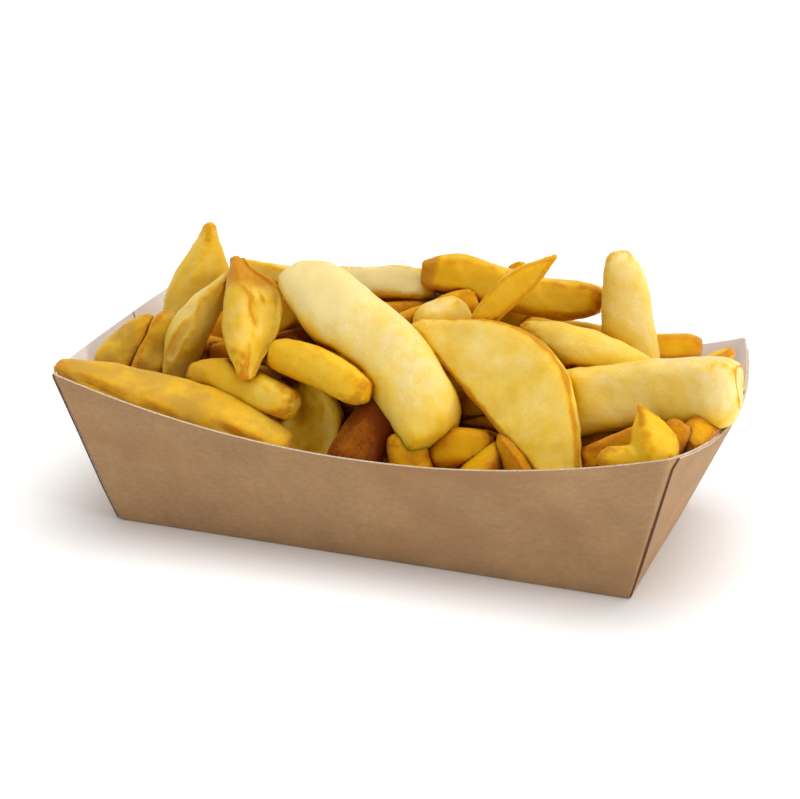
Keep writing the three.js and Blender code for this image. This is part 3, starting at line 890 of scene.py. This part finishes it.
# Cut from the outside of the potato, with one or both ends pointed.
wedges = dict(
    longWedge=fry(
        "longWedge", (-57.1, -42, 41.2), (73, 17.2, 14), (6, -13, 65),
        tone=0.45, fade=-0.05, tan=0.7, tips=(0.9, 0.1), levels=3,
        grooves=[
            ((-0.78, -0.1, 1), (-0.4, -0.3, 1), 0.4, 2.2),
            ((0.45, -0.2, 1), (0.75, -0.5, 1), 0.6, 2.4),
            ((-0.2, -0.35, 1), (0.05, -0.4, 1), 0.3, 2.2),
        ],
    ),
    gapTip=fry("wedge", (34, -33, 32), (22, 12, 14), (65, 35, 41), tone=0.56),
    discTip=fry("wedge", (44, -35, 36), (22, 9, 13), (137, 23, -37), tone=0.54),
    rightOfDisc=fry(
        "ridged", (56.4, 2.7, 56.5), (49, 13.8, 13), (-2, -10, 67),
        tone=0.17, tips=(0.3, 0.1), levels=3,
    ),
    behindThickest=fry("wedge", (85.6, 6.9, 53.8), (23, 7, 8), (20, 38, 60), tone=0.3, brown=0.9),
    leftEnd=fry(
        "facet", (-84.2, -14.1, 46.8), (22.9, 12.8, 12), (56, 58, 54),
        tan=0.8, tips=(0, 0.3), levels=3,
    ),
    hollowFaced=fry(
        "hollow", (-74.2, -13.9, 47.6), (22.2, 11, 11), (71, 62, 40),
        tone=0.3, tan=0.7, brown=0.8, tips=(0, 0.3), levels=3,
        presses=[((-0.1, 0, 1), 1.1, 6)],
    ),
    leaningBack=fry(
        "leaning", (-61.7, -14.4, 55.9), (37, 12.3, 15), (-144, -63, -70),
        tone=0.12, tan=0.3, tips=(0.4, 0), levels=3,
        presses=[((-0.2, -0.5, 0.6), 0.7, 5)],
        grooves=[((-0.05, -0.35, 1), (0.55, -0.5, 1), 0.45, 2.6)],
    ),
    behindAmber=fry("wedge", (20.5, 33.5, 64.3), (17, 6, 7), (-5, 60, 0), tone=0.36),
    backLeft=fry("wedge", (-61, 31, 48), (42, 14, 12), (14, 2, 15), tone=0.35),
    backWall=fry("tail", (46, 34, 49), (46, 14, 12), (-12, 3, 20), rise=8, tone=0.35),
)


# Odd shapes. The half disc is half of a round slice, on edge.
offcuts = dict(
    brownedLeaf=fry(
        "leaf", (-40.8, -21.4, 63.5), (41.6, 17.8, 12), (-63, -39, 5),
        tone=0.2, fade=-0.12, tan=0.3, brown=1, tips=(2.2, 0.5), tipReach=0.8, levels=3,
        presses=[((-0.5, 0.4, 0.9), 1.8, 6), ((0, 0.35, 0.9), 1.2, 4)],
        grooves=[((-0.75, 0.05, 1), (0.15, 0.45, 1), 0.5, 2.5)],
    ),
    # Its pale tone is painted light, as the fries over it shade it, and its hollow is painted darker,
    # painted shade.
    hollowSlab=fry(
        "slab", (-20.9, -26.9, 35.5), (28.5, 19.7, 9), (-58, -63, 11),
        tone=0.1, tan=0, hollow=0.5, brown=0.5, tips=(0.4, 0), levels=3,
        presses=[((-0.2, -0.2, 0.6), 0.8, 6)],
    ),
    halfDisc=fry(
        "halfDisc", (37.9, -21.8, 52.8), (74.4, 26.2, 8), (-31, -24, 46),
        tone=0.17, tan=0.2, brown=1.3, tips=(0.3, 0), levels=3,
    ),
    pointedBlade=fry(
        "blade", (30.5, -0.5, 73.6), (33.7, 8.5, 6), (-158, -44, -72),
        tone=0.36, tan=0.15, tips=(0.3, 0), levels=3,
    ),
    standingDrop=fry(
        "drop", (-73.9, 19, 58.2), (35.8, 19.2, 14), (-103, -73, -34),
        tone=0.22, tan=0.35, tips=(0.35, 0), levels=3,
    ),
)

# A small boot-shaped one among these: two pieces grown into one.
bootBit = dict(
    leg=fry(
        "drop", (82.4, -41.5, 51), (21, 13, 9), (-28, -60, 60),
        tone=0.27, brown=0.9, tips=(0.1, 0.3),
    ),
    foot=fry("thumb", (79, -43, 45.8), (21, 6.5, 7), (-175, -9, -69), tone=0.25, brown=0.8),
    voxel=0.6,
    smoothing=8,
)


def makeBoot():
    specs = (bootBit["leg"], bootBit["foot"])
    parts = [shapeFry(spec) for spec in specs]
    for part, spec in zip(parts, specs):
        layFry(part, spec)
    boot = joinAll(parts, "boot")
    addModifier(boot, "remesh", "REMESH", mode="VOXEL", voxel_size=bootBit["voxel"] * mm)
    addModifier(boot, "smooth", "SMOOTH", iterations=bootBit["smoothing"])
    applyModifiers(boot)
    roughenFry(boot, specs[0], np.zeros(len(boot.data.vertices)))
    return boot


# The fries under and behind these lie in rows along the tray.
underFries = dict(
    # across the tray, up, how many, how far along it both ways, and how far each may swing round
    rows=[
        (-26, 16, 2, 50, 4),
        (-13, 37, 3, 66, 12),
        (-3, 42, 3, 60, 20),
        (9, 47, 3, 68, 18),
        (22, 43, 3, 70, 14),
        (36, 37, 3, 70, 6),
        (16, 35, 3, 62, 10),
        (30, 31, 3, 58, 8),
        (0, 33, 3, 66, 10),
    ],
    length=(42, 54),
    width=(12, 15),
    slope=8,
    shift=4,
    flatness=0.92,
    curve=15,
    seed=11,
    tonesAndShade=(0.6, 0.42),  # deepened as painted shade, in front of and behind the next line
    behind=15,
)


def seededRandom(seed):
    state = [seed]
    factor, modulus = 48271, 2**31 - 1

    def between(low, high):
        state[0] = state[0] * factor % modulus
        return low + (high - low) * state[0] / modulus

    return between


def underSpecs():
    between = seededRandom(underFries["seed"])
    shift, slope, curve = underFries["shift"], underFries["slope"], underFries["curve"]
    specs = []
    for y, z, count, reach, swing in underFries["rows"]:
        for index in range(count):
            x = -reach + 2 * reach * (index + 0.5) / count
            at = (x + between(-shift, shift), y + between(-shift, shift) / 2, z)
            turn = (between(-swing, swing), between(-slope, slope), between(-90, 90))
            length = between(*underFries["length"])
            width = between(*underFries["width"])
            size = (length, width, width * underFries["flatness"])
            tone = underFries["tonesAndShade"][y > underFries["behind"]]
            specs.append(fry("rod", at, size, turn, rise=between(-curve, curve), tone=tone))
    return specs


# What fills the tray below them: a core in the darkest tone, painted shade seen only through deep gaps.
heapCore = dict(
    underside=1.3,
    rings=[(0, 66, 27), (4, 73, 33), (16, 75, 34), (25, 70, 27), (34, 56, 18)],
    sides=24,
    squareness=4,
    topInset=8,
    levels=3,
    lumps=2.5,
    tone=1,
)


def drawCore():
    power = 2 / heapCore["squareness"]
    sides = heapCore["sides"]
    bpy.ops.mesh.primitive_circle_add(vertices=sides, radius=1, fill_type="NGON")
    core = bpy.context.object
    edit(core)
    low, halfLength, halfWidth = heapCore["rings"][0]
    for index in range(sides):
        angle = 2 * math.pi * (index + 0.5) / sides
        shares = (math.cos(angle), math.sin(angle))
        x, y = (math.copysign(abs(share) ** power, share) for share in shares)
        moveVertex(core, index, Vector((halfLength * x, halfWidth * y, heapCore["underside"])) * mm)
    bpy.ops.mesh.select_all(action="SELECT")
    for height, nextLength, nextWidth in heapCore["rings"][1:]:
        step = (0, 0, (height - low) * mm)
        bpy.ops.mesh.extrude_region_move(TRANSFORM_OT_translate={"value": step})
        growth = (nextLength / halfLength, nextWidth / halfWidth, 1)
        bpy.ops.transform.resize(value=growth, center_override=(0, 0, 0))
        low, halfLength, halfWidth = height, nextLength, nextWidth
    bpy.ops.mesh.inset(thickness=heapCore["topInset"] * mm)
    bpy.ops.mesh.select_all(action="SELECT")
    bpy.ops.mesh.normals_make_consistent(inside=False)
    bpy.ops.object.mode_set(mode="OBJECT")
    addModifier(core, "rounding", "SUBSURF", subdivision_type="SIMPLE", levels=heapCore["levels"])
    applyModifiers(core)
    displace(core, "lumps", heapCore["lumps"])
    applyModifiers(core)
    paintCrustAndShade(core, 0, heapCore["tone"], 0, 0)
    return core


# Painted shade: where fries lie close together their tone is deepened, as shade falls there; rays look
# round every vertex for other fries.
creviceShade = dict(
    reach=11,
    start=0.35,
    leastFacing=0.15,
    gold=0.42,
    # and deepest, painted contact shade, where they touch
    touch=(0.36, 0.62),
    touchShadeGold=0.42,
    blur=2,
)


def occlusionAround(thing, surfaces):
    points, normals, pairs = meshArrays(thing)
    # to the middles of a cube's faces and to its corners
    cube = itertools.product((-1, 0, 1), repeat=3)
    rays = [Vector(ray).normalized() for ray in cube if sum(map(abs, ray)) in (1, 3)]
    facing = normals @ np.array(rays).T
    starts = points + normals * creviceShade["start"] * mm
    reach = creviceShade["reach"] * mm
    occlusion = np.zeros(len(points))
    for number, ray in enumerate(rays):
        for index in np.nonzero(facing[:, number] > creviceShade["leastFacing"])[0]:
            distance = surfaces.ray_cast(starts[index], ray, reach)[3]
            if distance is not None:
                occlusion[index] += facing[index, number] * (1 - distance / reach)
    return blurred(occlusion / np.maximum(facing, 0).sum(1), pairs, creviceShade["blur"])


def paintCrowdShade(things):
    together = bmesh.new()
    for thing in things:
        together.from_mesh(thing.data)
    surfaces = BVHTree.FromBMesh(together)
    together.free()
    for thing in things:
        crustAndShade = thing.data.color_attributes["crustAndShade"]
        values = np.empty(len(thing.data.vertices) * 4)
        crustAndShade.data.foreach_get("color", values)
        occlusion = occlusionAround(thing, surfaces)
        touchShade = np.interp(occlusion, creviceShade["touch"], (0, 1))
        values[1::4] += creviceShade["gold"] * occlusion + creviceShade["touchShadeGold"] * touchShade
        crustAndShade.data.foreach_set("color", values)


# The flesh runs from cream, where a fry is thick and pale, to amber, where it fried longer; the darkest
# red-brown end of the ramp serves painted shade, on hidden fries and in crevices.
fleshLook = dict(
    clouds=(62, 2, 0.5),
    mottle=(260, 3, 0.55),
    grain=(1300, 2, 0.6),
    cloudy=0.36,  # how much each of these three changes the tone
    mottled=0.26,
    grainy=0.16,
    edgeGold=0.3,
    shades=[
        (0, (0.81, 0.67, 0.31)), (0.15, (0.8, 0.58, 0.125)), (0.32, (0.77, 0.49, 0.032)),
        (0.5, (0.72, 0.4, 0.006)), (0.68, (0.63, 0.295, 0.003)), (0.85, (0.4, 0.125, 0.001)),
        (1, (0.17, 0.022, 0.0003)),
    ],
    stains=(95, 3, 0.6),
    stained=(0.38, 0.66, 0.25, 1),
    stainColor=(0.42, 0.235, 0.045),
    patchiness=1.4,  # of the browned edges and ends and of the painted crease shade
    browned=(0.28, 1, 0, 0.92),
    brownColor=(0.53, 0.235, 0.014),
    crumbHeight=1.6,
    mottleHeight=0.7,
    grainHeight=0.3,
    bump=(0.45, 0.0006),
    roughness=(0.32, 0.46),
    shader={
        "Subsurface Weight": 0.75,
        "Subsurface Radius": (1, 0.55, 0.15),
        "Subsurface Scale": 0.005,
        "Specular IOR Level": 0.14,
        "Specular Tint": (1, 0.72, 0.3, 1),
    },
)


def potatoMaterial():
    look = fleshLook
    material, tree, place = newMaterial("friedPotato")
    attribute = addNode(tree, "Attribute", {}, attribute_name="crustAndShade")
    # The attribute's tone channel carries painted shade as well as the fry's own tone.
    edges, tone, endsAndCreaseShade = addNode(tree, "SeparateColor", {"Color": attribute.outputs["Color"]}).outputs
    tan = attribute.outputs["Alpha"]
    clouds, mottle, grain, stains = (
        addNoise(tree, place, *look[name]) for name in ("clouds", "mottle", "grain", "stains")
    )
    # noises lie about a half, so half their shares are taken off
    level = -(look["mottled"] + look["grainy"]) / 2
    patchy = addSum(tree, (mottle, look["mottled"]), (grain, look["grainy"]), start=level)
    level = -look["cloudy"] / 2
    golden = addSum(tree, (clouds, look["cloudy"]), (patchy, 1), (tone, 1), start=level)
    golden = addSum(tree, (edges, look["edgeGold"]), start=golden)
    flesh = addRamp(tree, golden, look["shades"])
    stained = addMath(tree, "MULTIPLY", addRange(tree, stains, *look["stained"], smooth=True), tan)
    flesh = addMix(tree, stained, flesh, look["stainColor"])
    # Browning of the edges and ends, and the painted crease shade.
    browned = addSum(tree, (patchy, look["patchiness"]), start=addMath(tree, "MAXIMUM", edges, endsAndCreaseShade))
    browned = addRange(tree, browned, *look["browned"], smooth=True)
    color = addMix(tree, browned, flesh, look["brownColor"])
    crumbs = addMath(tree, "MULTIPLY", edges, grain)
    height = addSum(
        tree, (mottle, look["mottleHeight"]), (grain, look["grainHeight"]), (crumbs, look["crumbHeight"])
    )
    roughness = addRange(tree, mottle, *noiseMiddle, *look["roughness"])
    finishMaterial(tree, color, roughness, addBump(tree, height, *look["bump"]), **look["shader"])
    return material


textures = dict(
    waves=cloudsTexture("boardWaves", carton["waveSize"], 1),
    lumps=cloudsTexture("fryLumps", unevenness["lumpSize"], 1),
    dents=cloudsTexture("fryDents", unevenness["dentSize"], 1),
    crumbs=cloudsTexture("fryCrumbs", unevenness["crumbSize"], 2),
)
tray = drawCarton()
print("carton folded")

cages = {name: drawCage(name) for name in cuts}
print("cuts drawn")

potato = potatoMaterial()
boot = makeBoot()
friesPieces = [
    joinAll([makeFry(spec) for spec in thickFries.values()], "thickFries"),
    joinAll([makeFry(spec) for spec in thinFries.values()], "thinFries"),
    joinAll([makeFry(spec) for spec in wedges.values()], "wedges"),
    joinAll([makeFry(spec) for spec in offcuts.values()] + [boot], "offcuts"),
    joinAll([drawCore()] + [makeFry(spec) for spec in underSpecs()], "underFries"),
]
# Paints shade into the tone where fries crowd and touch.
paintCrowdShade(friesPieces)
for piece in friesPieces:
    piece.data.materials.clear()
    piece.data.materials.append(potato)
    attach(piece, "root")
    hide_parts("fries")
    print(piece.name, len(piece.data.polygons), "faces")

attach(tray, "root")
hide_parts("carton")

bpy.ops.object.select_all(action="DESELECT")
for cage in cages.values():
    cage.select_set(True)
bpy.ops.object.delete()


# The floor and the lamps, with their places in metres.
studio = dict(
    floorSize=8,
    skyColor=(1, 1, 1),
    skyStrength=0.55,
    sunFrom=(0.07, 0.12, 1),
    sunSpread=50,
    sunStrength=1.95,
    sunColor=(1, 0.99, 0.975),
    # the other lamps, each with its place and power
    fills=(((1.3, -0.25, 0.45), 9.5), ((-0.9, -0.8, 0.8), 1)),
    fillSize=0.9,
    floorShades=[(0.3, (0.94, 0.94, 0.94)), (0.7, (0.96, 0.96, 0.96))],
    floorClouds=(3, 2),
    floorGrain=(400, 1),
    floorBump=(0.02, 0.0001),
    floorRoughness=0.9,
)


# A lamp that looks at the tray.
def addLamp(kind, name, place, power):
    bpy.ops.object.light_add(type=kind, location=place)
    lamp = bpy.context.object
    lamp.name = name
    lamp.data.energy = power
    lamp.rotation_euler = (-Vector(place)).to_track_quat("-Z", "Y").to_euler()
    return lamp.data


def lightStudio():
    world = bpy.data.worlds.new("studio")
    world.use_nodes = True
    background = world.node_tree.nodes["Background"]
    background.inputs["Color"].default_value = (*studio["skyColor"], 1)
    background.inputs["Strength"].default_value = studio["skyStrength"]
    bpy.context.scene.world = world
    sun = addLamp("SUN", "softSun", studio["sunFrom"], studio["sunStrength"])
    sun.angle = math.radians(studio["sunSpread"])
    sun.color = studio["sunColor"]
    for place, power in studio["fills"]:
        fill = addLamp("AREA", "sideFill", place, power)
        fill.size = studio["fillSize"]


def layFloor():
    bpy.ops.mesh.primitive_plane_add(size=studio["floorSize"])
    floor = bpy.context.object
    floor.name = "floor"
    material, tree, place = newMaterial("paleFloor")
    color = addRamp(tree, addNoise(tree, place, *studio["floorClouds"]), studio["floorShades"])
    bump = addBump(tree, addNoise(tree, place, *studio["floorGrain"]), *studio["floorBump"])
    finishMaterial(tree, color, studio["floorRoughness"], bump)
    floor.data.materials.append(material)


# The camera's place in metres, the directions of its picture's right and up sides, and its lens.
viewpoint = dict(
    place=(0.21021, -0.64745, 0.29746),
    right=(0.94787161, 0.31819299, 0.01710665),
    up=(-0.1292542, 0.33485875, 0.93336111),
    lens=110.88,
    sensor=36,
    nearest=0.01,
)


def placeCamera():
    bpy.ops.object.camera_add(location=viewpoint["place"])
    camera = bpy.context.object
    right, up = Vector(viewpoint["right"]), Vector(viewpoint["up"])
    axes = Matrix((right, up, right.cross(up))).transposed()
    camera.matrix_world = Matrix.Translation(viewpoint["place"]) @ axes.to_4x4()
    camera.data.lens = viewpoint["lens"]
    camera.data.sensor_width = viewpoint["sensor"]
    camera.data.clip_start = viewpoint["nearest"]
    bpy.context.scene.camera = camera


lightStudio()
layFloor()
placeCamera()
bpy.context.scene.view_settings.view_transform = "Standard"
print("studio set")
